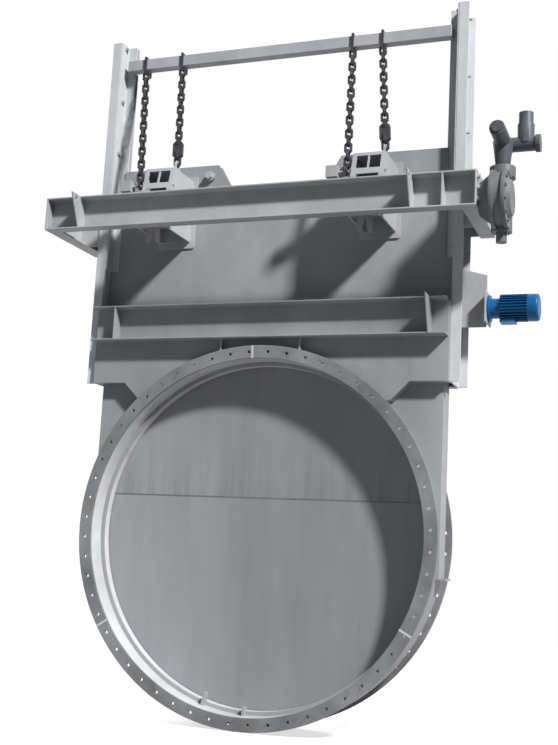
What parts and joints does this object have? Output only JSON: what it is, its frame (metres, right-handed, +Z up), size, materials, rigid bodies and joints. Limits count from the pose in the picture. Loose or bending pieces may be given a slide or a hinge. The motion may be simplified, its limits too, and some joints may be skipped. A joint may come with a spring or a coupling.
{
  "type": "guillotine slide-gate damper for a round duct",
  "caption": "Guillotine slide gate for a round duct, closed, with bolted ring flanges, a tall channel-column frame, chains on a tie bar and an electric actuator",
  "frame": {"origin": "centre of the front flange's bolt circle, on the flange's front face", "axes": "+X to the right seen from the front, +Y along the duct away from the front, +Z up along the blade's travel"},
  "size_m": [2.882, 0.832, 4.1748],
  "materials": {
    "duct_steel": "weathered, satin",
    "blade_steel": "weathered, dull",
    "frame_steel": "galvanised, satin",
    "chain_steel": "oiled, dark",
    "gearbox_paint": "grey, satin",
    "actuator_paint": "dark grey, satin",
    "motor_paint": "blue, semi-gloss"
  },
  "bodies": {
    "frame": {"front_flange": "duct_steel", "rear_flange": "duct_steel", "front_duct_stub": "duct_steel", "rear_duct_stub": "duct_steel", "front_seat_ring": "duct_steel", "rear_seat_ring": "duct_steel", "housing_rim": "duct_steel", "front_housing_plate": "duct_steel", "rear_housing_plate": "duct_steel", "front_hood": "duct_steel", "rear_hood": "duct_steel", "front_gland_channel": "duct_steel", "rear_gland_channel": "duct_steel", "front_bonnet_plate": "blade_steel", "rear_bonnet_plate": "blade_steel", "left_column": "frame_steel", "right_column": "frame_steel", "left_front_guide": "frame_steel", "right_front_guide": "frame_steel", "left_rear_guide": "frame_steel", "right_rear_guide": "frame_steel", "top_tie_bar": "frame_steel", "drive_beam": "frame_steel", "left_cross_member": "frame_steel", "right_cross_member": "frame_steel", "left_drive_bracket": "frame_steel", "right_drive_bracket": "frame_steel", "drive_shaft": "frame_steel", "motor_bracket": "frame_steel", "left_pin_chain": "chain_steel", "right_pin_chain": "chain_steel", "left_eye_chain": "chain_steel", "right_eye_chain": "chain_steel", "gearbox": "gearbox_paint", "actuator": "actuator_paint", "gearmotor": "motor_paint"},
    "blade": {"blade": "blade_steel"}
  },
  "joints": [
    {"name": "blade_slide", "type": "slide", "parent": "frame", "child": "blade", "axis": [0, 0, 1], "range_m": [0, 2.05]}
  ]
}
